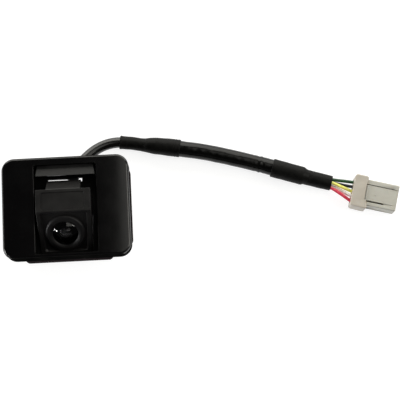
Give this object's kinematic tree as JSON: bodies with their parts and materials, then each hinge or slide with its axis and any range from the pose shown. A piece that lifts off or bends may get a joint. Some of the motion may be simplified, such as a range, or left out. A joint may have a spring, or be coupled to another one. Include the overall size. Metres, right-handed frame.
{
  "type": "backup camera kit",
  "caption": "Glossy rounded bezel with a tilted camera pod in its recess, snap hooks behind, and a short sleeved lead ending in a latched connector.",
  "frame": {"origin": "middle of the bezel, on the surface that its rear feet stand on", "axes": "+Z out of the bezel's face, +Y up the bezel, +X across it towards the lead's connector"},
  "size_m": [0.1812, 0.0594, 0.0295],
  "materials": {
    "bezel_gloss": "glossy black moulded plastic, gently crowned",
    "bracket_matt": "fine-textured black moulded plastic",
    "screw_steel": "zinc-plated steel",
    "gasket_rubber": "soft closed-cell foam rubber, dark grey",
    "hook_plastic": "black acetal",
    "pod_matt": "spark-eroded matt black plastic",
    "seal_silicone": "red-brown silicone seal",
    "seal_nitrile": "black nitrile",
    "ring_satin": "satin black",
    "barrel_black": "black anodised aluminium",
    "lens_glass": "polished coated glass",
    "holder_plastic": "glass-filled black plastic",
    "filter_glass": "cyan infra-red cut glass",
    "sensor_glass": "cover glass over a dark violet die",
    "board_green": "green solder resist",
    "capacitor_tan": "tan ceramic",
    "socket_cream": "cream plastic",
    "chip_epoxy": "black epoxy",
    "can_tin": "tinned steel",
    "grommet_rubber": "black rubber",
    "cable_pvc": "semi-gloss black jacket",
    "shrink_tube": "black heat-shrink tube",
    "sleeve_pvc": "glossy black vinyl sleeving",
    "wire_green": "green insulation",
    "wire_black": "black insulation",
    "wire_yellow": "yellow insulation",
    "wire_white": "white insulation",
    "wire_red": "red insulation",
    "connector_ivory": "ivory polyamide",
    "retainer_ivory": "warm ivory polyamide",
    "terminal_brass": "tin-plated brass"
  },
  "bodies": {
    "root": {"bezel_cover": "bezel_gloss", "camera_bracket": "bracket_matt", "bracket_screws": "screw_steel", "module_screws": "screw_steel", "case_screws": "screw_steel", "panel_gasket": "gasket_rubber", "pod_front_case": "pod_matt", "pod_rear_case": "pod_matt", "case_seal": "seal_silicone", "barrel_seal": "seal_nitrile", "lens_trim_ring": "ring_satin", "lens_barrel": "barrel_black", "lens_spacer": "barrel_black", "aperture_stop": "barrel_black", "front_lens": "lens_glass", "second_lens": "lens_glass", "rear_lens": "lens_glass", "lens_holder": "holder_plastic", "ir_filter": "filter_glass", "image_sensor": "sensor_glass", "sensor_board": "board_green", "processor_board": "board_green", "board_capacitors": "capacitor_tan", "board_connector": "socket_cream", "cable_socket": "socket_cream", "processor_chip": "chip_epoxy", "shield_can": "can_tin", "cable_grommet": "grommet_rubber", "camera_cable": "cable_pvc", "heat_shrink_camera_end": "shrink_tube", "heat_shrink_connector_end": "shrink_tube", "cable_sleeve": "sleeve_pvc", "wire_green": "wire_green", "wire_black": "wire_black", "wire_yellow": "wire_yellow", "wire_white": "wire_white", "wire_red": "wire_red", "connector_housing": "connector_ivory", "terminals": "terminal_brass"},
    "hook_left": {"snap_hook_left": "hook_plastic"},
    "hook_right": {"snap_hook_right": "hook_plastic"},
    "latch": {"connector_latch": "connector_ivory"},
    "retainer": {"terminal_retainer": "retainer_ivory"}
  },
  "joints": [
    {"name": "hook_left_flex", "type": "hinge", "parent": "root", "child": "hook_left", "pos_m": [-0.0195, -0.007, 0.014], "axis": [0, -1, 0], "range_deg": [0, 8], "stiffness_Nm_per_rad": 0.2},
    {"name": "hook_right_flex", "type": "hinge", "parent": "root", "child": "hook_right", "pos_m": [0.0195, -0.007, 0.014], "axis": [0, 1, 0], "range_deg": [0, 8], "stiffness_Nm_per_rad": 0.2},
    {"name": "latch_press", "type": "hinge", "parent": "root", "child": "latch", "pos_m": [0.1477, -0.00063, 0.0078], "axis": [-0.2588, -0.9659, 0], "range_deg": [0, 5], "stiffness_Nm_per_rad": 0.1},
    {"name": "retainer_slide", "type": "slide", "parent": "root", "child": "retainer", "axis": [-0.9659, 0.2588, 0], "range_m": [0, 0.003]}
  ]
}
